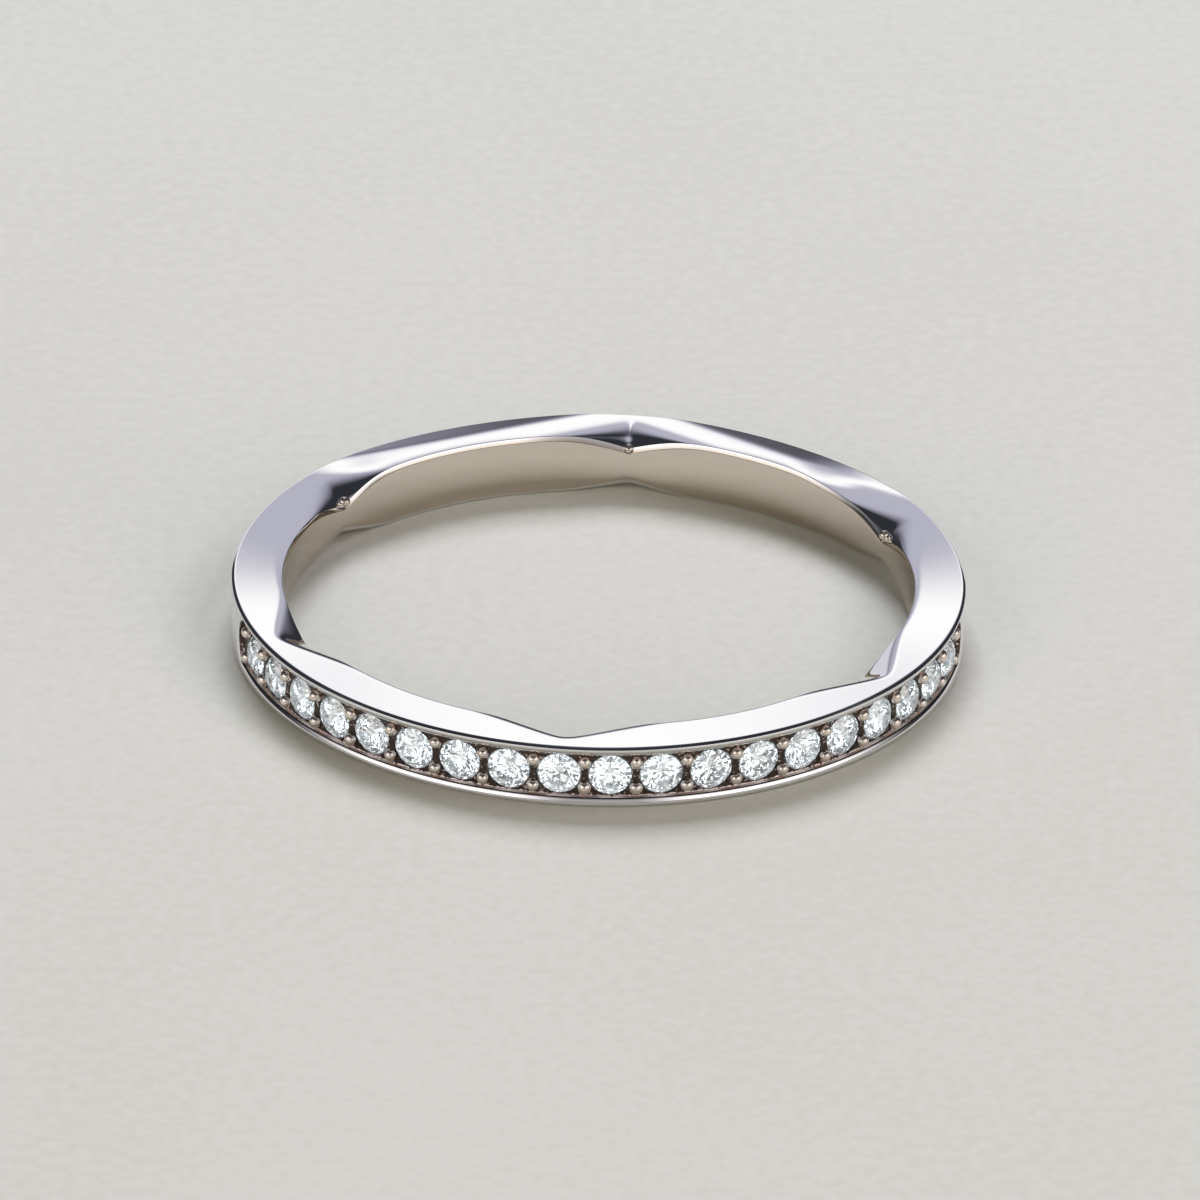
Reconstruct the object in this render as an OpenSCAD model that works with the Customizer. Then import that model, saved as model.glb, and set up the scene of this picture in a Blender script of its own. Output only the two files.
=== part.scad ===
// Half eternity ring: a cast band with six waisted notches on each side face,
// and a row of round brilliants set with shared beads in a channel along the front.
// Millimetres. The ring lies on its side face: the finger axis is +Z, and the stone row faces -Y.

/* [Band] */
// Inside diameter of the finger hole
bore_d = 17.3; // [16.5:0.1:18.1]
// Thickness of the band, from the finger to its outer wall
wall = 1.45; // [1.35:0.01:1.6]
// Height of the band along the finger
band_h = 1.8; // [1.8:0.01:2]
// Rounding of the two edges at the finger
inner_round = 0.2; // [0.12:0.01:0.25]
// Rounding of the two outer edges
outer_round = 0.07; // [0.04:0.01:0.09]

/* [Notches] */
// Notches around each side face
notch_count = 6; // [4:1:6]
// Direction of the notch nearest the row's middle, from -Y towards +X
notch_turn = -7.5; // [-12:0.5:12]
// How far a notch reaches out over the side face, at its middle
notch_reach = 0.86; // [0.6:0.01:0.95]
// How far a notch runs down the finger wall, at its middle
notch_depth = 0.47; // [0.3:0.01:0.5]
// Half the angle over which a notch fades out
notch_half = 17; // [13:0.5:20]
// Bend of a notch's arms: 1 is straight, more is hollower
notch_bend = 1.75; // [1.2:0.05:2]

/* [Outer bevels] */
// How far in from the outer wall a plain side's shallow bevel starts
bevel_in = 0.85; // [0.5:0.01:0.9]
// How much the bevel lowers the outer edge
bevel_drop = 0.1; // [0.04:0.01:0.12]

/* [Stone row] */
// Stones in the row
stones = 19; // [15:2:19]
// Angle from one stone to the next
pitch = 8; // [7.9:0.01:8.2]
// Girdle diameter of a stone
stone_d = 1.15; // [1.05:0.01:1.15]
// How far the girdles lie in from the rails
girdle_in = 0.22; // [0.21:0.01:0.24]
// Running gap between a stone and its seat
seat_gap = 0.03; // [0.02:0.005:0.03]
// Thickness of a stone's girdle
girdle_t = 0.03; // [0.02:0.005:0.04]

/* [Channel] */
// How far the channel floor lies in from the rails
channel_in = 0.17; // [0.15:0.01:0.19]
// Width of the channel at its floor
channel_floor = 1.24; // [1.23:0.01:1.27]
// Width of the channel at the rails' edges
channel_mouth = 1.34; // [1.3:0.01:1.4]
// Radius of a bead
bead_r = 0.16; // [0.13:0.01:0.17]
// How far the beads of a pair stand above and below the row's middle
bead_off = 0.38; // [0.36:0.01:0.4]

/* [Hidden] */
$fn = 96;
bore_r = bore_d / 2;
outer_r = bore_r + wall;
girdle_r = outer_r - girdle_in;
floor_r = outer_r - channel_in;
mid_z = band_h / 2;
margin = 0.5;

notch_angles = [for (i = [0:notch_count - 1]) notch_turn + i * 360 / notch_count];
notch_steps = 9;
row_half = (stones - 1) / 2;
end_angle = (row_half + 0.5) * pitch;
end_step = 0.02;
bead_angles = [for (i = [0:stones]) (i - stones / 2) * pitch];
// Directions halfway between notches, where the side faces carry no stones
bevel_angles = [
    for (a = notch_angles)
        let (m = a + 180 / notch_count, turned = m > 180 ? m - 360 : m)
        if (abs(turned) > 60) m
];
bevel_tilt = atan(bevel_drop / bevel_in);

// Proportions of a round brilliant, as parts of its girdle diameter
stone_r = stone_d / 2;
table_r = 0.28 * stone_d;
crown_h = 0.15 * stone_d;
pavilion_h = 0.43 * stone_d;
star_r = 0.39 * stone_d;
lower_r = 0.12 * stone_d;
crown_slope = crown_h / (stone_r - table_r);
pavilion_slope = pavilion_h / stone_r;

// A point at radius r and height z, in direction a from -Y towards +X
function polar(r, a, z) = [r * sin(a), -r * cos(a), z];

// How strongly a notch cuts at an angle from its middle, from 1 down to 0 at its ends
function fade(a) = pow(max(0, 1 - abs(a) / notch_half), notch_bend);

// Unit vector down the notch's slope, in radius and height
slope_len = norm([notch_reach, notch_depth]);
slope_r = notch_reach / slope_len;
slope_z = notch_depth / slope_len;

// The three corners of the notch cutter at an angle from its middle: the slope's line
// carried past the side face, the same line carried past the finger wall, and a corner clear of both
function notch_section(a) =
    let (
        over_r = bore_r + notch_reach * fade(a) + margin * slope_r / slope_z,
        under_z = band_h - notch_depth * fade(a) - margin * slope_z / slope_r
    )
    [
        polar(over_r, a, band_h + margin),
        polar(bore_r - margin, a, under_z),
        polar(bore_r - margin, a, band_h + margin)
    ];

module notch_cutter() {
    sections = [for (i = [-notch_steps:notch_steps]) notch_section(i * notch_half / notch_steps)];
    last = 2 * notch_steps;
    corner = function (i, k) 3 * i + k % 3;
    polyhedron(
        points = [for (s = sections) each s],
        faces = [
            [0, 1, 2],
            [corner(last, 2), corner(last, 1), corner(last, 0)],
            for (i = [0:last - 1], k = [0:2])
                each [
                    [corner(i, k), corner(i + 1, k + 1), corner(i, k + 1)],
                    [corner(i, k), corner(i + 1, k), corner(i + 1, k + 1)]
                ]
        ]
    );
}

// Everything that is cut from the upper side face: notches all round, shallow bevels at the back
module face_cuts() {
    for (a = notch_angles) rotate([0, 0, a]) notch_cutter();
    for (a = bevel_angles)
        rotate([0, 0, a - 90])
            translate([outer_r - bevel_in, 0, band_h])
                rotate([0, bevel_tilt, 0])
                    translate([0, -outer_r, 0]) cube([wall + margin, 2 * outer_r, band_h]);
}

// The band's whole section, its edges rounded, as flats and true arcs
module band_section() {
    translate([bore_r, inner_round]) square([wall, band_h - 2 * inner_round]);
    translate([bore_r + inner_round, 0]) square([wall - inner_round - outer_round, band_h]);
    translate([bore_r + inner_round, outer_round])
        square([wall - inner_round, band_h - 2 * outer_round]);
    for (z = [inner_round, band_h - inner_round])
        translate([bore_r + inner_round, z]) circle(inner_round);
    for (z = [outer_round, band_h - outer_round])
        translate([outer_r - outer_round, z]) circle(outer_round);
}

// The stone channel's section: a floor with both walls cut back towards the rails
module channel_section() {
    mouth_r = outer_r + margin;
    flare = (channel_mouth - channel_floor) / 2 / channel_in;
    mouth_half = channel_floor / 2 + flare * (mouth_r - floor_r);
    polygon([
        [floor_r, mid_z - channel_floor / 2],
        [mouth_r, mid_z - mouth_half],
        [mouth_r, mid_z + mouth_half],
        [floor_r, mid_z + channel_floor / 2]
    ]);
}

// Stands what follows on the channel floor in direction a, its own +Z pointing out of the band
module on_row(a, r) {
    rotate([0, 0, a]) translate([0, -r, mid_z]) rotate([90, 0, 0]) children();
}

module channel() {
    rotate([0, 0, -90 - end_angle]) rotate_extrude(angle = 2 * end_angle, $fn = 180) channel_section();
    // Each end of the channel is a half round with the same flare, cut a little deeper
    flare = (channel_mouth - channel_floor) / 2 / channel_in;
    reach = channel_in + margin;
    for (side = [-1, 1])
        on_row(side * end_angle, floor_r - end_step)
            cylinder(h = reach, r1 = channel_floor / 2, r2 = channel_floor / 2 + flare * reach);
}

// A stone's seat: a straight hole for the girdle over a cone for the pavilion
module seat() {
    seat_r = stone_r + seat_gap;
    cone_h = pavilion_h + seat_gap;
    translate([0, 0, -seat_gap]) cylinder(h = girdle_in + margin, r = seat_r);
    translate([0, 0, -seat_gap - cone_h])
        cylinder(h = cone_h, r1 = seat_gap, r2 = seat_r);
}

module bead() {
    sphere(bead_r, $fn = 32);
}

module band() {
    color("silver")
    difference() {
        union() {
            difference() {
                rotate_extrude($fn = 180) band_section();
                channel();
            }
            for (a = bead_angles, side = [-1, 1])
                on_row(a, floor_r) translate([0, side * bead_off, 0]) bead();
        }
        for (i = [-row_half:row_half]) on_row(i * pitch, girdle_r) seat();
        face_cuts();
        translate([0, 0, band_h]) mirror([0, 0, 1]) face_cuts();
    }
}

// A ring of eight points at radius r and height z, the first in direction start
function ring8(r, z, start) = [for (i = [0:7]) [r * cos(start + 45 * i), r * sin(start + 45 * i), z]];

// The height of a crown or pavilion main facet at radius r, half a facet away from its middle line
function crown_z(r) = girdle_t + (stone_r - r * cos(22.5)) * crown_slope;
function pavilion_z(r) = (r * cos(22.5) - stone_r) * pavilion_slope;

// A round brilliant standing on its culet line: table, stars, crown mains, upper girdle facets,
// a sixteen-sided girdle, lower girdle facets and pavilion mains
module brilliant() {
    TABLE = 0;
    STAR = 8;
    TOP = 16;
    BOTTOM = 32;
    LOWER = 48;
    CULET = 56;
    girdle = function (z) [for (i = [0:15]) [stone_r * cos(22.5 * i), stone_r * sin(22.5 * i), z]];
    n8 = function (i) (i + 8) % 8;
    n16 = function (i) (i + 16) % 16;
    polyhedron(
        points = concat(
            ring8(table_r, girdle_t + crown_h, 0),
            ring8(star_r, crown_z(star_r), 22.5),
            girdle(girdle_t),
            girdle(0),
            ring8(lower_r, pavilion_z(lower_r), 22.5),
            [[0, 0, -pavilion_h]]
        ),
        faces = [
            [for (i = [7:-1:0]) TABLE + i],
            for (i = [0:7])
                each [
                    [TABLE + i, TABLE + n8(i + 1), STAR + i],
                    [TABLE + i, STAR + i, TOP + 2 * i],
                    [TABLE + i, TOP + 2 * i, STAR + n8(i - 1)],
                    [STAR + i, TOP + 2 * i + 1, TOP + 2 * i],
                    [STAR + i, TOP + n16(2 * i + 2), TOP + 2 * i + 1],
                    [LOWER + i, BOTTOM + 2 * i, BOTTOM + 2 * i + 1],
                    [LOWER + i, BOTTOM + 2 * i + 1, BOTTOM + n16(2 * i + 2)],
                    [CULET, BOTTOM + 2 * i, LOWER + i],
                    [CULET, LOWER + n8(i - 1), BOTTOM + 2 * i]
                ],
            for (i = [0:15])
                each [
                    [TOP + i, TOP + n16(i + 1), BOTTOM + n16(i + 1)],
                    [TOP + i, BOTTOM + n16(i + 1), BOTTOM + i]
                ]
        ]
    );
}

module stone(i) {
    color("white") on_row((i - 1 - row_half) * pitch, girdle_r) brilliant();
}

band();
for (i = [1:stones]) stone(i);
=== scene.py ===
import math

import bpy
from mathutils import Matrix, Vector


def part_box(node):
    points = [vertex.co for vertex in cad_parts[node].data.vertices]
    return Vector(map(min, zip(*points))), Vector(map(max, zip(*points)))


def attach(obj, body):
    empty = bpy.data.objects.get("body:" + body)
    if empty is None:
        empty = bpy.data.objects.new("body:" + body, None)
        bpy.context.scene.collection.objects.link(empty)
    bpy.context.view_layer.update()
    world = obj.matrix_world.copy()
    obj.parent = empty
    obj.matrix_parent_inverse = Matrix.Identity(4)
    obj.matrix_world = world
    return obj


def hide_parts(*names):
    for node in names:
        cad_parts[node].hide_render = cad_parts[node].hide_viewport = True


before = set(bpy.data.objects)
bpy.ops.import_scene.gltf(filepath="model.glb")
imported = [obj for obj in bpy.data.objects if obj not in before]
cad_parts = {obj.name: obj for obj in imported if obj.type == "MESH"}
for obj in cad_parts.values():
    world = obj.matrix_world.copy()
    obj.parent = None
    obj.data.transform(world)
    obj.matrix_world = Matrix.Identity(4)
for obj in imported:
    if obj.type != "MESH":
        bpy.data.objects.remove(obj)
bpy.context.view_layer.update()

# The camera stands in front of the stone row, a little to one side of its middle, and looks down
# on the ring through a long lens. Its place is in outer radii of the band, from the ring's middle.
band_low, band_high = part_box("band")
outer_r = (band_high.x - band_low.x) / 2
camera_turn = math.radians(-2.5)
camera_drop = math.radians(27.31)
camera_roll = math.radians(1.30)
camera_back, camera_aside, camera_lift = 33.3333, 0.004654, 0.093415
camera_lens = 366.3
camera_near, camera_far = 0.01, 20

camera = bpy.data.objects.new("camera", bpy.data.cameras.new("camera"))
bpy.context.scene.collection.objects.link(camera)
bpy.context.scene.camera = camera
camera.data.lens = camera_lens
camera.data.clip_start, camera.data.clip_end = camera_near, camera_far
camera.matrix_world = (
    Matrix.Rotation(camera_turn, 4, "Z")
    @ Matrix.Rotation(math.radians(90) - camera_drop, 4, "X")
    @ Matrix.Translation((camera_aside * outer_r, camera_lift * outer_r, camera_back * outer_r))
    @ Matrix.Rotation(camera_roll, 4, "Z")
)

# The paper that the ring lies on: one plain pale sheet, uncoated, with a faint tooth and soft
# flecks of its fibres. It is part of the stage.
MM = 0.001
paper_half, paper_gap = 4.0, 0.01 * MM
paper_colour, paper_fleck = (0.72, 0.715, 0.695), (0.68, 0.675, 0.65)
cloud_grain, tooth_grain, tooth_share = 45, 2600, 0.6
fleck_steps = (0.4, 0.62)
tooth_bump, tooth_height = 0.25, 0.03 * MM
paper_rough, paper_shine = 0.85, 0.25


class Wire:
    """One socket of a node. Sums on it add Math nodes to its tree."""

    def __init__(self, socket):
        self.socket = socket

    @staticmethod
    def node(tree, kind, settings=None, links=None, out=0):
        """Adds a node: its settings first, then the values or wires of its sockets."""
        made = tree.nodes.new(kind)
        settings = dict(settings or {})
        stops = settings.pop("stops", ())
        for name, value in settings.items():
            setattr(made, name, value)
        for place, (at, colour) in enumerate(stops):
            ramp = made.color_ramp.elements
            stop = ramp[place] if place < 2 else ramp.new(at)
            stop.position, stop.color = at, (*colour, 1)
        for name, value in (links or {}).items():
            for one in value if isinstance(value, list) else [value]:
                if isinstance(one, Wire):
                    tree.links.new(one.socket, made.inputs[name])
                else:
                    made.inputs[name].default_value = one
        return Wire(made.outputs[out]) if made.outputs else None

    def beside(self, out):
        """Another output of the same node."""
        return Wire(self.socket.node.outputs[out])

    def _sum(self, operation, *values):
        tree = self.socket.id_data
        return Wire.node(tree, "ShaderNodeMath", {"operation": operation}, dict(enumerate(values)))

    def to(self, operation, *values):
        """Any other Math operation, with this socket as its first value."""
        return self._sum(operation, self, *values)

    def __add__(self, other):
        return self._sum("ADD", self, other)

    def __radd__(self, other):
        return self._sum("ADD", other, self)

    def __sub__(self, other):
        return self._sum("SUBTRACT", self, other)

    def __rsub__(self, other):
        return self._sum("SUBTRACT", other, self)

    def __mul__(self, other):
        return self._sum("MULTIPLY", self, other)

    def __rmul__(self, other):
        return self._sum("MULTIPLY", other, self)

    def __truediv__(self, other):
        return self._sum("DIVIDE", self, other)

    def __rtruediv__(self, other):
        return self._sum("DIVIDE", other, self)

    def __pow__(self, other):
        return self._sum("POWER", self, other)


def new_material(name):
    """A new material and its empty tree."""
    material = bpy.data.materials.new(name)
    material.use_nodes = True
    material.node_tree.nodes.clear()
    return material, material.node_tree


def soft_step(value, low, high):
    """A wire from 0 at low to 1 at high, eased at both ends."""
    settings = {"interpolation_type": "SMOOTHSTEP"}
    links = {"Value": value, "From Min": low, "From Max": high}
    return Wire.node(value.socket.id_data, "ShaderNodeMapRange", settings, links)


def blend(tree, amount, first, second):
    """A colour that goes from the first to the second as amount goes from 0 to 1."""
    settings = {"data_type": "RGBA"}
    return Wire.node(tree, "ShaderNodeMix", settings, {0: amount, 6: first, 7: second}, out=2)


def noise(tree, place, scale, detail=2.0):
    """Noise of so many grains a metre."""
    links = {"Vector": place, "Scale": scale, "Detail": detail}
    return Wire.node(tree, "ShaderNodeTexNoise", None, links)


paper_stuff, tree = new_material("uncoated paper")
place = Wire.node(tree, "ShaderNodeTexCoord", out="Object")
cloud = noise(tree, place, cloud_grain)
tooth = noise(tree, place, tooth_grain, 4)
fleck = soft_step(tooth * tooth_share + cloud * (1 - tooth_share), *fleck_steps)
bump = Wire.node(
    tree, "ShaderNodeBump", None,
    {"Strength": tooth_bump, "Distance": tooth_height, "Height": tooth},
)
shader = Wire.node(
    tree, "ShaderNodeBsdfPrincipled", None,
    {"Base Color": blend(tree, fleck, (*paper_colour, 1), (*paper_fleck, 1)),
     "Roughness": paper_rough, "Specular IOR Level": paper_shine, "Normal": bump},
)
Wire.node(tree, "ShaderNodeOutputMaterial", None, {"Surface": shader})

sheet = bpy.data.meshes.new("paper")
ways = ((-1, -1), (1, -1), (1, 1), (-1, 1))
corners = [(x * paper_half, y * paper_half, -paper_gap) for x, y in ways]
sheet.from_pydata(corners, [], [(0, 1, 2, 3)])
paper = bpy.data.objects.new("paper", sheet)
bpy.context.scene.collection.objects.link(paper)
paper.data.materials.append(paper_stuff)

# The studio: a dim room that only the metal and the stones mirror. A soft white light in a lavender
# glow stands behind the ring, a low card beside it, a warm light in front, and a faint one overhead.
# Four soft lamps light the paper, and the stones let through a light that is broken into sparks.
key_turn, key_bright = 2.4, 1.15
key_rise, key_drop, key_across = (11, 25.5), (42, 64), (0.3, 4)
key_foot, key_flank = 0.2, 0.44
glow_rise, glow_drop, glow_across = (9, 23), (60, 92), (10, 38)
card_turn, card_rise, card_bright = (-24, -17, -3, 1), (-6, 0, 14, 22), 0.62
ceiling_rise, ceiling_bright = (70, 86), 0.4
front_rise, front_drop, front_across = (2, 9), (28, 50), (70, 110)
front_gap, front_left = (10, 30), 0.3
front_bright, front_colour = 1.35, (1.0, 0.955, 0.935)
room_colour = (0.026, 0.028, 0.034)
glow_colour, glow_at = (0.41, 0.41, 0.50), 0.4
sparkle_grain, sparkle_steps = 25, (0.45, 0.48)
sparkle_bright, sparkle_dim = 1.75, 0.03
sparkle_colour = (0.93, 0.98, 1.0)
backdrop_colour = (0.60, 0.60, 0.575)
lamp_distance = 0.7

world = bpy.data.worlds.new("studio")
world.use_nodes = True
world.cycles.sampling_method = "NONE"
bpy.context.scene.world = world
bpy.context.scene.view_settings.view_transform = "Standard"
tree = world.node_tree
tree.nodes.clear()


def past(value, angles):
    """0 before the first of two angles in degrees and 1 after the second, eased."""
    return soft_step(value, *(math.radians(a) for a in angles))


ray = Wire.node(tree, "ShaderNodeTexCoord", out="Generated")
east = Wire.node(tree, "ShaderNodeSeparateXYZ", None, {"Vector": ray})
north, up = east.beside("Y"), east.beside("Z")
rise = up.to("ARCSINE")
bearing = east.to("ARCTAN2", north)
aside = (bearing - math.radians(key_turn)).to("ABSOLUTE")
key = past(rise, key_rise) * (1 - past(rise, key_drop)) * (1 - key_foot) + key_foot
key = key * (1 - past(aside, key_across) * (1 - key_flank))
key = key * past(rise, glow_rise) * (1 - past(rise, glow_drop)) * (1 - past(aside, glow_across))
card = past(bearing, card_turn[:2]) * (1 - past(bearing, card_turn[2:]))
card = card * past(rise, card_rise[:2]) * (1 - past(rise, card_rise[2:]))
key = key.to("MAXIMUM", card * card_bright)
key = key.to("MAXIMUM", past(rise, ceiling_rise) * ceiling_bright)
aside = east.to("ARCTAN2", 0 - north).to("ABSOLUTE")
fill = past(rise, front_rise) * (1 - past(rise, front_drop)) * (1 - past(aside, front_across))
fill = fill * (past(aside, front_gap) * (1 - front_left) + front_left)
mirrored = Wire.node(
    tree, "ShaderNodeValToRGB",
    {"stops": [(0, room_colour), (1, (1, 1, 1)), (glow_at, glow_colour)]},
    {"Fac": key},
)
mirrored = blend(tree, fill, mirrored, (*(front_bright * c / key_bright for c in front_colour), 1))
seen = Wire.node(tree, "ShaderNodeLightPath", out="Is Camera Ray")
through = seen.beside("Is Transmission Ray")
spread = seen.beside("Diffuse Depth").to("MINIMUM", 1)
colour = blend(tree, through, mirrored, (*sparkle_colour, 1))
colour = blend(tree, seen, colour, (*backdrop_colour, 1))
sparkle = noise(tree, ray, sparkle_grain, 0)
sparkle = soft_step(sparkle, *sparkle_steps) * sparkle_bright + sparkle_dim
strength = (1 - through) * (1 - seen) * key_bright + through * sparkle + seen
strength = strength * (1 - spread)
light = Wire.node(tree, "ShaderNodeBackground", None, {"Color": colour, "Strength": strength})
Wire.node(tree, "ShaderNodeOutputWorld", None, {"Surface": light})


def soft_light(name, side, turn, rise, watts, colour):
    """A square light that looks at the ring and is not mirrored in the metal."""
    lamp = bpy.data.lights.new(name, "AREA")
    lamp.size, lamp.energy, lamp.color = side, watts, colour
    lit = bpy.data.objects.new(name, lamp)
    bpy.context.scene.collection.objects.link(lit)
    lit.matrix_world = (
        Matrix.Rotation(math.radians(turn), 4, "Z")
        @ Matrix.Rotation(math.radians(90 - rise), 4, "X")
        @ Matrix.Translation((0, 0, lamp_distance))
    )
    lit.visible_glossy = lit.visible_camera = lit.visible_transmission = False


soft_light("light behind", 0.35, 180, 50, 4.1, (0.92, 0.95, 1.0))
soft_light("light at the right", 0.35, 90, 50, 1.04, (1.0, 0.97, 0.97))
soft_light("light in front, right", 0.5, 40, 25, 1.58, (1.0, 0.91, 0.73))
soft_light("light in front, left", 0.5, -40, 25, 1.78, (1.0, 0.92, 0.73))

# The band is one casting of white metal, polished bright. Each side face has six waisted notches,
# lies flat in front and leans a little at the sides and behind, and its outer edge is chamfered.
# A channel for the stones is milled along the front between two narrow rails.
band_h = band_high.z - band_low.z
bore_r = outer_r - 1.45 * MM
chamfer_in, chamfer_down = 0.06 * MM, 0.13 * MM
chamfer_top, chamfer_foot = 0.015 * MM, 0.12 * MM
edge_in, edge_down, edge_soft = 0.075 * MM, 0.065 * MM, 0.03 * MM
corner_steps, face_steps, wall_steps, edge_steps = 4, 40, 6, 2

# The notches, six to a face. A second value is for the three behind.
notches = 6
notch_turn = math.radians(-7.5)
notch_reach = 0.86 * MM
notch_depth = 0.47 * MM
notch_half = math.radians(17)
notch_bend = 1.75
notch_flat, notch_flat_back, notch_roll = 0.8, 0.5, 3
notch_thin, notch_past = 0.02 * MM, 1.2
valley_soft, valley_soft_back = math.radians(1.8), math.radians(0.8)
arm_soft, arm_soft_back = 0.1 * MM, 0.17 * MM

# The lean of the faces: a bevel behind and a dish at the sides. Where each begins and ends is the
# cosine of the turn from the row's middle, 1 in front and -1 behind.
bevel_in, bevel_drop, bevel_soft = 0.85 * MM, 0.1 * MM, 0.3 * MM
side_dish = 0.145 * MM
behind_at, bevel_at = (-0.5, 0.2), -0.5
side_front, side_behind = (-0.45, 0.75), (-0.78, -0.58)

# The row: the stones' places, the channel with its rails, and the drilled seats.
stones = 19
pitch = math.radians(8)
end_angle = stones / 2 * pitch
girdle_r = outer_r - 0.22 * MM
floor_r = outer_r - 0.17 * MM
floor_half = 0.62 * MM
mouth_half = 0.655 * MM
floor_round = 0.035 * MM
rail_wide, rail_drop = 0.17 * MM, 0.065 * MM
rail_run, rail_lift, over = 0.2 * MM, 0.02 * MM, 0.5 * MM
seat_r, seat_gap, seat_depth = 0.605 * MM, 0.03 * MM, 0.5 * MM
seat_sides, seat_under = 48, 1.5
end_share, channel_steps = 0.1, 241
weld, crease = 1e-7, math.radians(35)

# The metal's colours, where its bore, row, wall and seam begin and end, and its patterns, with a
# painted reflection in the bore and painted shade in the channel.
metal_colour, metal_rough = (0.86, 0.852, 0.858), 0.03
# Painted reflection: the bore's darker, warmer tint stands in for the shaded paper that it mirrors
# inside the ring.
bore_shade_colour = (0.67, 0.60, 0.52)
# The channel: channel_dark is both its dark grit and painted shade on the floor between the stones;
# channel_light is its pale pinkish grit.
channel_dark, channel_light = (0.08, 0.06, 0.052), (0.88, 0.74, 0.70)
bore_from = (bore_r + 0.01 * MM, bore_r + 0.05 * MM)
row_from = (floor_r - 0.1 * MM, floor_r - 0.05 * MM)
row_to = (outer_r - 0.055 * MM, outer_r - 0.035 * MM)
row_side = (mouth_half, mouth_half + 0.02 * MM)
wall_from = (floor_half - 0.05 * MM, floor_half + 0.01 * MM)
# A dark line of painted shade runs along the seam where each channel wall meets its rail.
seam_shade_from = (outer_r - 0.1 * MM, outer_r - 0.08 * MM)
grit_and_shade_steps, wall_lightening = (0.55, 0.75), 0.34
sheen_grain, grit_grain, scratch_grain, wave_grain = 900, 11000, 14000, 260
sheen_rough, bore_rough, row_rough = 0.03, 0.06, 0.33
scratch_height, grit_height = 0.02, 0.8
metal_bump, metal_height = 0.5, 0.01 * MM


def new_tree(name, sizes):
    """A geometry tree with a named input for each size, and the wires of those inputs."""
    kinds = {int: "NodeSocketInt", float: "NodeSocketFloat", bpy.types.Object: "NodeSocketObject"}
    tree = bpy.data.node_groups.new(name, "GeometryNodeTree")
    for label, value in sizes.items():
        tree.interface.new_socket(label, in_out="INPUT", socket_type=kinds[type(value)])
    tree.interface.new_socket("Mesh", in_out="OUTPUT", socket_type="NodeSocketGeometry")
    entry = tree.nodes.new("NodeGroupInput")
    return tree, [Wire(entry.outputs[label]) for label in sizes]


def made_by(tree, name, sizes, shape, material):
    """Ends the tree with the shape, runs it with the sizes and returns the plain mesh's object."""
    real = Wire.node(tree, "GeometryNodeRealizeInstances", None, {"Geometry": shape})
    dressed = Wire.node(
        tree, "GeometryNodeSetMaterial", None, {"Geometry": real, "Material": material})
    Wire.node(tree, "NodeGroupOutput", None, {"Mesh": dressed})
    piece = bpy.data.objects.new(name, bpy.data.meshes.new(name))
    bpy.context.scene.collection.objects.link(piece)
    modifier = piece.modifiers.new("sizes", "NODES")
    modifier.node_group = tree
    for item in tree.interface.items_tree:
        if item.in_out == "INPUT":
            modifier[item.identifier] = sizes[item.name]
    run = piece.evaluated_get(bpy.context.evaluated_depsgraph_get())
    mesh = bpy.data.meshes.new_from_object(run)
    piece.modifiers.clear()
    piece.data = mesh
    mesh.name = name
    return piece


def outline_object(name, points):
    """A closed outline of points out from the bore and up, as the loop of edges that a sweep takes."""
    mesh = bpy.data.meshes.new(name)
    count = len(points)
    loop = [(i, (i + 1) % count) for i in range(count)]
    mesh.from_pydata([(out - bore_r, -up, 0) for out, up in reversed(points)], loop, [])
    return bpy.data.objects.new(name, mesh)


def rounded(corners):
    """A closed outline from corners of x, y, rounding, steps of the rounding and steps to the next."""
    ends = []
    for number, (x, y, radius, steps, _) in enumerate(corners):
        here = Vector((x, y))
        back = (Vector(corners[number - 1][:2]) - here).normalized()
        ahead = (Vector(corners[(number + 1) % len(corners)][:2]) - here).normalized()
        half = back.angle(ahead) / 2
        middle = here + (back + ahead).normalized() * radius / math.sin(half)
        first, last = (here + way * radius / math.tan(half) - middle for way in (back, ahead))
        ends.append([middle + radius * first.slerp(last, i / steps) for i in range(steps + 1)])
    outline = []
    for number, curve in enumerate(ends):
        start, end, steps = curve[-1], ends[(number + 1) % len(ends)][0], corners[number][4]
        outline += curve + [start.lerp(end, i / steps) for i in range(1, steps)]
    return [tuple(point) for point in outline]


def band_outline():
    """The band's plain section, its side faces cut fine enough to carry the notches."""
    low, high, top = bore_r, outer_r, band_h
    lip, foot = low + chamfer_in, chamfer_down
    return rounded([
        (lip, 0, chamfer_top, corner_steps, face_steps),
        (high - edge_in, 0, edge_soft, corner_steps, edge_steps),
        (high, edge_down, edge_soft, corner_steps, wall_steps),
        (high, top - edge_down, edge_soft, corner_steps, edge_steps),
        (high - edge_in, top, edge_soft, corner_steps, face_steps),
        (lip, top, chamfer_top, corner_steps, edge_steps),
        (low, top - foot, chamfer_foot, corner_steps, wall_steps),
        (low, foot, chamfer_foot, corner_steps, edge_steps),
    ])


def polished(tree, shape):
    """Smooth shading, with the edges sharp that turn by more than the crease angle."""
    smooth = Wire.node(tree, "GeometryNodeSetShadeSmooth", {"domain": "FACE"}, {"Geometry": shape})
    turned = Wire.node(tree, "GeometryNodeInputMeshEdgeAngle").to("GREATER_THAN", crease)
    links = {"Geometry": smooth, "Selection": turned, "Shade Smooth": False}
    return Wire.node(tree, "GeometryNodeSetShadeSmooth", {"domain": "EDGE"}, links)


def coordinates(tree):
    """The x, y and z of the points that a field is read on."""
    place = Wire.node(tree, "GeometryNodeInputPosition")
    x = Wire.node(tree, "ShaderNodeSeparateXYZ", None, {"Vector": place})
    return x, x.beside("Y"), x.beside("Z")


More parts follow.
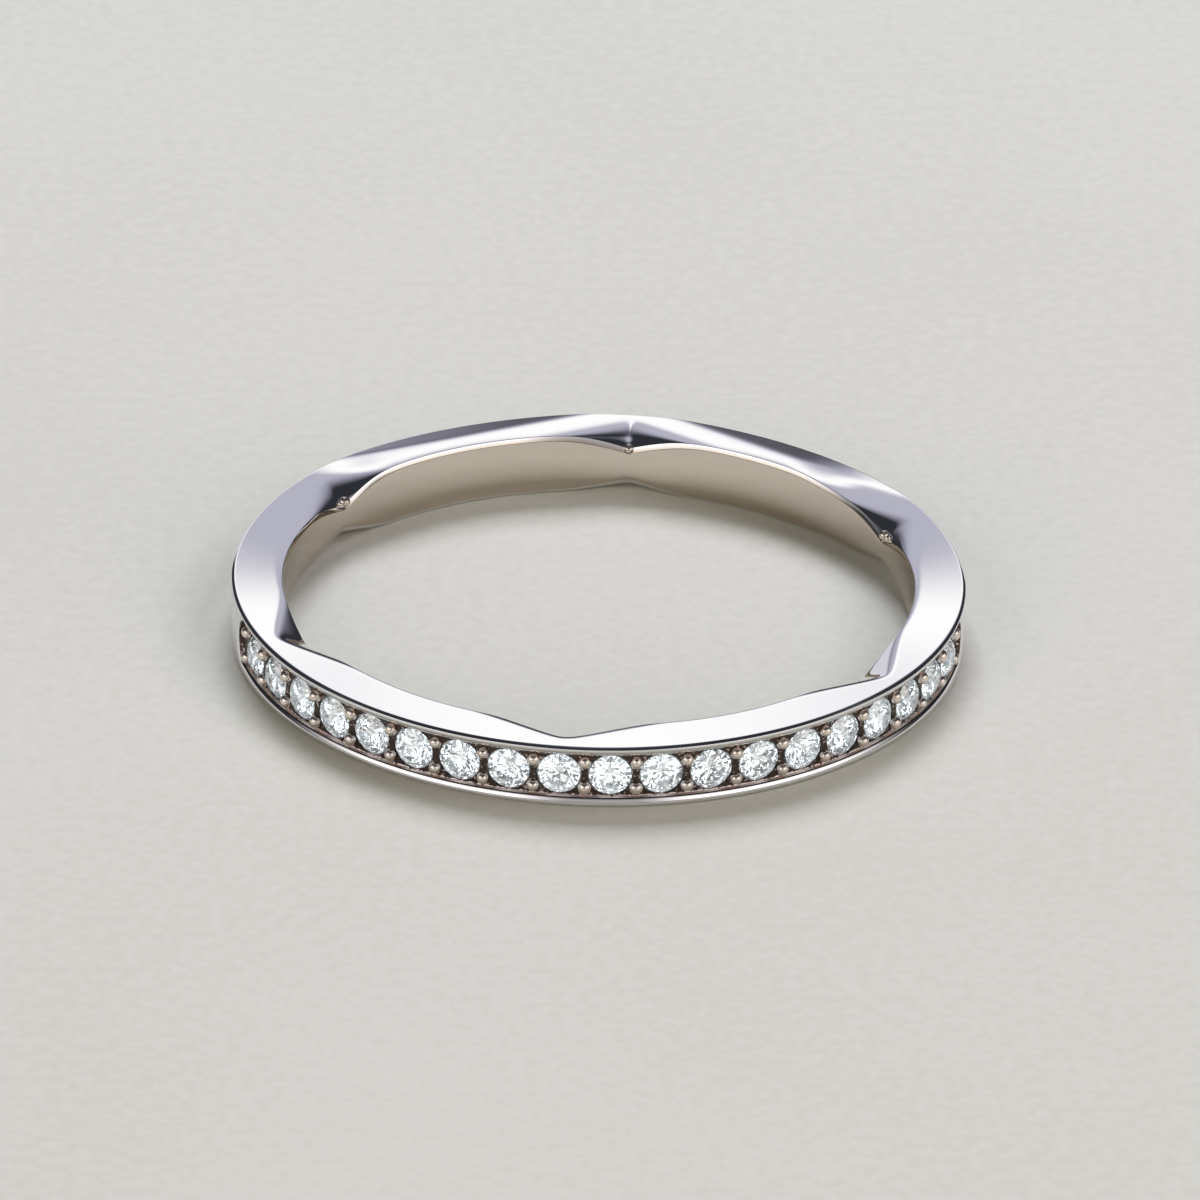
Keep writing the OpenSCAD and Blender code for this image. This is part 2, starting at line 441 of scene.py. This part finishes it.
def about_axis(tree, radius, turn, height):
    """The place at a radius from the finger axis, in a direction from the row's middle."""
    links = {"X": radius * turn.to("SINE"), "Y": 0 - radius * turn.to("COSINE"), "Z": height}
    return Wire.node(tree, "ShaderNodeCombineXYZ", None, links)


def moved(tree, shape, place):
    """The shape with its points at new places."""
    return Wire.node(tree, "GeometryNodeSetPosition", None, {"Geometry": shape, "Position": place})


def swept_along(tree, path, outline):
    """The outline object carried along a path, as a skin open at both ends of an open path."""
    flat = Wire.node(tree, "GeometryNodeObjectInfo", None, {"Object": outline}, out="Geometry")
    loop = Wire.node(tree, "GeometryNodeMeshToCurve", None, {"Mesh": flat})
    return Wire.node(tree, "GeometryNodeCurveToMesh", None, {"Curve": path, "Profile Curve": loop})


def channel_outline():
    """The channel cutter's section: floor, corners, flared walls, and rails that round over."""
    edge = outer_r - rail_drop
    foot = [(0, -1), (0.1, -0.4), (0.4, 0), (1, 0.35)]
    brim = [(-0.8, -0.35), (-0.2, -0.1), (0.15, 0.2)]
    side = [(floor_r + floor_round * out, floor_half + floor_round * half) for out, half in foot]
    side += [(edge + floor_round * out, mouth_half + floor_round * half) for out, half in brim]
    for share in (0.1, 0.3, 0.5, 0.7, 0.9):
        side.append((outer_r - rail_drop * (1 - share) ** 2, mouth_half + rail_wide * share))
    last = side[-1][1]
    side += [(outer_r + rail_lift, last + rail_run), (outer_r + over, last + over)]
    return [*((out, -half) for out, half in side), *((out, half) for out, half in reversed(side))]


def spaced(tree, count, step):
    """The turns of a number of points, one step apart and half of them on either side."""
    return (Wire.node(tree, "GeometryNodeInputIndex") - (count - 1) / 2) * step


def on_row(tree, shape, count, step, radius, height):
    """Copies of a shape along the row, its +Z turned to point straight out of the band."""
    turn = spaced(tree, count, step)
    place = about_axis(tree, radius, turn, height)
    points = Wire.node(tree, "GeometryNodePoints", None, {"Count": count, "Position": place})
    spin = Wire.node(tree, "ShaderNodeCombineXYZ", None, {"X": math.radians(90), "Z": turn})
    links = {"Points": points, "Instance": shape, "Rotation": spin}
    return Wire.node(tree, "GeometryNodeInstanceOnPoints", None, links)


def raised(tree, shape, height):
    """The shape moved up by a height."""
    up = Wire.node(tree, "ShaderNodeCombineXYZ", None, {"Z": height})
    return Wire.node(tree, "GeometryNodeTransform", None, {"Geometry": shape, "Translation": up})


band_sizes = {
    "Section": outline_object("band section", band_outline()),
    "Channel section": outline_object("channel section", channel_outline()),
    "Steps around": 576,
    "Crowding": 0.6,
    "Bore radius": bore_r,
    "Outer radius": outer_r,
    "Height": band_h,
    "Notches": notches,
    "Notch turn": notch_turn,
    "Notch reach": notch_reach,
    "Notch depth": notch_depth,
    "Notch half angle": notch_half,
    "Notch bend": notch_bend,
    "Valley softness": valley_soft,
    "Valley softness at the back": valley_soft_back,
    "Notch flatness": notch_flat,
    "Notch flatness at the back": notch_flat_back,
    "Arm softness": arm_soft,
    "Arm softness at the back": arm_soft_back,
    "Bevel width": bevel_in,
    "Bevel drop": bevel_drop,
    "Bevel softness": bevel_soft,
    "Side dish": side_dish,
    "Channel half angle": end_angle,
    "Stones": stones,
    "Pitch": pitch,
    "Girdle radius": girdle_r,
    "Seat radius": seat_r,
    "Seat depth": seat_depth,
    "Seat gap": seat_gap,
}
tree, wires = new_tree("band", band_sizes)
(section, pan, steps, crowding, low_r, high_r, high, count, first, reach, depth, half, bend,
 valley, back_valley, flat, back_flat, arm, back_arm, bevel_w, bevel_d, bevel_s, dish,
 row_end, row, row_step, girdle, hole, hole_depth, hole_gap) = wires

# The steps of the sweep are gathered near the notches, then both side faces are pressed to shape.
x, y, z = coordinates(tree)
radius, turn = (x * x + y * y) ** 0.5, x.to("ARCTAN2", 0 - y)
turn = turn - (count * (turn - first)).to("SINE") * crowding / count
half_step = math.pi / count
off = (turn - first).to("WRAP", half_step, 0 - half_step)
off_mid = (turn - first - half_step).to("WRAP", half_step, 0 - half_step)
ahead = turn.to("COSINE")
behind = 1 - soft_step(ahead, *behind_at)
valley = valley + (back_valley - valley) * behind
eased = (off * off + valley * valley) ** 0.5 - valley
fade = (1 - eased / half).to("MAXIMUM", 0) ** bend
run = low_r + reach * fade - radius
share = (run / (reach * fade + notch_thin)).to("MAXIMUM", 0).to("MINIMUM", notch_past)
flat = flat + (back_flat - flat) * behind
slope = high - run * depth / reach * (flat + (1 - flat) * share ** notch_roll)
face = high.to("SMOOTH_MIN", slope, arm + (back_arm - arm) * behind)
at_back = (turn - off_mid).to("COSINE").to("LESS_THAN", bevel_at)
lowered = (radius * off_mid.to("COSINE") - (high_r - bevel_w)).to("SMOOTH_MAX", 0, bevel_s)
face = face - lowered * at_back * bevel_d / bevel_w
at_side = (1 - soft_step(ahead, *side_front)) * soft_step(ahead, *side_behind)
face = face - (high_r - radius) / (high_r - low_r) * at_side * dish
middle = high / 2
pressed = middle + (z - middle) * (face - middle) / middle
path = Wire.node(
    tree, "GeometryNodeCurvePrimitiveCircle", None, {"Resolution": steps, "Radius": low_r})
blank = moved(tree, swept_along(tree, path, section), about_axis(tree, radius, turn, pressed))

# The channel's cutter is swept straight from -1 to 1 and a little past, then laid round the front,
# where what lies past is drawn in to the half round of each end.
path = Wire.node(
    tree, "GeometryNodeCurvePrimitiveLine", None,
    {"Start": (-1 - end_share, 0, 0), "End": (1 + end_share, 0, 0)},
)
path = Wire.node(tree, "GeometryNodeResampleCurve", None, {"Curve": path, "Count": channel_steps})
radius, along = low_r - y, x.to("ABSOLUTE")
bend_in = (along - 1).to("MAXIMUM", 0) / end_share * (math.pi / 2)
past_end = z.to("ABSOLUTE") * bend_in.to("SINE") / radius
turn = x.to("SIGN") * (along.to("MINIMUM", 1) * row_end + past_end)
place = about_axis(tree, radius, turn, middle + z * bend_in.to("COSINE"))
cutter = moved(tree, swept_along(tree, path, pan), place)
cutter = Wire.node(
    tree, "GeometryNodeMergeByDistance", None, {"Geometry": cutter, "Distance": weld})

# Each seat is a straight hole that takes the girdle, over a cone that takes the pavilion.
cone = Wire.node(
    tree, "GeometryNodeMeshCone", {"fill_type": "NGON"},
    {"Vertices": seat_sides, "Side Segments": 1,
     "Radius Top": hole, "Radius Bottom": hole_gap, "Depth": hole_depth},
)
drill = Wire.node(
    tree, "GeometryNodeMeshCylinder", None,
    {"Vertices": seat_sides, "Radius": hole, "Depth": over},
)
tools = (raised(tree, cone, 0 - hole_gap - hole_depth),
         raised(tree, drill, over / 2 - hole_gap * seat_under))
seats = [
    Wire.node(tree, "GeometryNodeRealizeInstances", None,
              {"Geometry": on_row(tree, tool, row, row_step, girdle, middle)})
    for tool in tools
]
shape = Wire.node(
    tree, "GeometryNodeMeshBoolean", {"operation": "DIFFERENCE", "solver": "MANIFOLD"},
    {"Mesh 1": blank, "Mesh 2": [cutter, *seats]},
)
shape = polished(tree, shape)


def white_metal(name, plain, roughness, row_grime_and_shade):
    """White metal: a darker, warmer tint painted on the bore for the shaded paper it mirrors, grit and
    painted shade in the channel, faint waves and fine scratches.
    """
    metal, tree = new_material(name)
    place = Wire.node(tree, "ShaderNodeTexCoord", out="Object")
    x = Wire.node(tree, "ShaderNodeSeparateXYZ", None, {"Vector": place})
    y, z = x.beside("Y"), x.beside("Z")
    radius = (x * x + y * y) ** 0.5
    finger_side = 1 - soft_step(radius, *bore_from)
    off_middle = (z - band_h / 2).to("ABSOLUTE")
    in_row = soft_step(radius, *row_from) * (1 - soft_step(off_middle, *row_side))
    in_row = in_row * (1 - soft_step(radius, *row_to))
    # Painted shade: the channel floor is left dark, its walls are lifted lighter, and a dark line is
    # painted at the seam with each rail, all under real grit.
    wall_and_seam_shading = soft_step(off_middle, *wall_from) * (wall_lightening - soft_step(radius, *seam_shade_from))
    grit_and_shade = soft_step(noise(tree, place, grit_grain, 2) + wall_and_seam_shading, *grit_and_shade_steps)
    grime_and_shade = blend(tree, grit_and_shade, (*channel_dark, 1), (*channel_light, 1))
    # Painted reflection: the bore is tinted darker and warmer for the shaded paper it mirrors.
    colour = blend(tree, finger_side, (*plain, 1), (*bore_shade_colour, 1))
    colour = blend(tree, in_row * row_grime_and_shade, colour, grime_and_shade)
    rough = roughness + noise(tree, place, sheen_grain, 3) * sheen_rough
    rough = rough + finger_side * bore_rough + in_row * row_grime_and_shade * row_rough
    scratch = noise(tree, place, scratch_grain, 3)
    waves = noise(tree, place, wave_grain, 1)
    height = waves + scratch * scratch_height + in_row * grit_and_shade * grit_height
    bump = Wire.node(
        tree, "ShaderNodeBump", None,
        {"Strength": metal_bump, "Distance": metal_height, "Height": height},
    )
    shader = Wire.node(
        tree, "ShaderNodeBsdfPrincipled", None,
        {"Base Color": colour, "Metallic": 1.0, "Roughness": rough, "Normal": bump},
    )
    Wire.node(tree, "ShaderNodeOutputMaterial", None, {"Surface": shader})
    return metal


band_stuff = white_metal("polished white metal", metal_colour, metal_rough, 1.0)
band = made_by(tree, "polished_band", band_sizes, shape, band_stuff)
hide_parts("band")
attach(band, "root")

# The beads are grains of the band's own metal, raised with a graver beside each pair of stones and
# rounded over the girdles with a cupped tool. Two stand between every two stones and at each end. One
# more grain sits on the lip of each notch at the back as a painted highlight: it stands in for a glint
# at the bore end of the notch's valley, where the ring has no grain.
bead_r, bead_off, bead_rise = 0.185 * MM, 0.385 * MM, 0.03 * MM
bead_sides, bead_rings = 20, 12
bead_uneven, bead_seed = 0.12, 7
# The beads take a little of the channel's grit and painted shade.
bead_colour, bead_rough, bead_grime_and_shade = (0.84, 0.755, 0.68), 0.2, 0.15
lip_highlight_grains, lip_highlight_grain_r = 3, 0.16 * MM
lip_in, lip_down = 0.07 * MM, 0.42 * MM

bead_sizes = {
    "Beads along": stones + 1,
    "Pitch": pitch,
    "Height": band_h / 2,
    "Off middle": bead_off,
    "Centre radius": floor_r + bead_rise,
    "Bead radius": bead_r,
    "Unevenness": bead_uneven,
    "Seed": bead_seed,
    "Lip highlight grains": lip_highlight_grains,
    "Lip highlight grain radius": lip_highlight_grain_r,
    "Lip radius": bore_r + lip_in,
    "Lip height": band_h - lip_down,
    "Notch step": 2 * math.pi / notches,
    "Back turn": math.pi + notch_turn,
}
tree, wires = new_tree("beads", bead_sizes)
(along, step, middle, off_row, centre, size, uneven, seed,
 lips, lip_size, lip_r, lip_z, lip_step, back) = wires
grain = Wire.node(
    tree, "GeometryNodeMeshUVSphere", None,
    {"Segments": bead_sides, "Rings": bead_rings, "Radius": size},
)
rows = [on_row(tree, grain, along, step, centre, middle + side * off_row) for side in (1, -1)]
# Painted highlights: grains on the lips of the back notches stand in for glints there.
place = about_axis(tree, lip_r, spaced(tree, lips, lip_step) + back, lip_z)
points = Wire.node(tree, "GeometryNodePoints", None, {"Count": lips, "Position": place})
rows.append(Wire.node(
    tree, "GeometryNodeInstanceOnPoints", None,
    {"Points": points, "Instance": grain, "Scale": lip_size / size},
))
grains = Wire.node(tree, "GeometryNodeJoinGeometry", None, {"Geometry": rows})
stretch = Wire.node(
    tree, "FunctionNodeRandomValue", {"data_type": "FLOAT_VECTOR"},
    {"Min": 1 - uneven, "Max": 1 + uneven / 2, "Seed": seed},
)
grains = Wire.node(
    tree, "GeometryNodeScaleInstances", None, {"Instances": grains, "Scale": stretch})
shape = Wire.node(tree, "GeometryNodeSetShadeSmooth", {"domain": "FACE"}, {"Geometry": grains})

bead_stuff = white_metal("raised grains", bead_colour, bead_rough, bead_grime_and_shade)
beads = made_by(tree, "bead_grains", bead_sizes, shape, bead_stuff)
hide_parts("band")
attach(beads, "root")

# The stones are round brilliants, cut and polished from clear colourless material, and each drops
# into a drilled seat in the channel floor until its girdle rests there.
stone_index = 2.3
stone_tint, stone_haze, haze_grain = (1.0, 1.0, 1.0), (0.93, 0.97, 1.0), 1500
# Painted glints: cells of each stone's surface glow faintly with emitted light that stands in for
# sparkle.
glint_grain, glint_steps, glint_colour = 5200, (0.42, 0.6), (0.09, 0.10, 0.105)

stone_stuff, tree = new_material("clear brilliant")
place = Wire.node(tree, "ShaderNodeTexCoord", out="Object")
cell = Wire.node(
    tree, "ShaderNodeTexVoronoi", None, {"Vector": place, "Scale": glint_grain}, out="Color")
glint = soft_step(Wire.node(tree, "ShaderNodeSeparateColor", None, {"Color": cell}), *glint_steps)
colour = blend(tree, noise(tree, place, haze_grain), (*stone_tint, 1), (*stone_haze, 1))
shader = Wire.node(
    tree, "ShaderNodeBsdfPrincipled", None,
    {"Base Color": colour, "Transmission Weight": 1.0, "IOR": stone_index, "Roughness": 0.0,
     "Emission Color": blend(tree, glint, (0, 0, 0, 1), (*glint_colour, 1)),
     "Emission Strength": 1.0},
)
Wire.node(tree, "ShaderNodeOutputMaterial", None, {"Surface": shader})
for number in range(1, stones + 1):
    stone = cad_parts[f"stone_{number:02d}"]
    stone.data.materials.clear()
    stone.data.materials.append(stone_stuff)
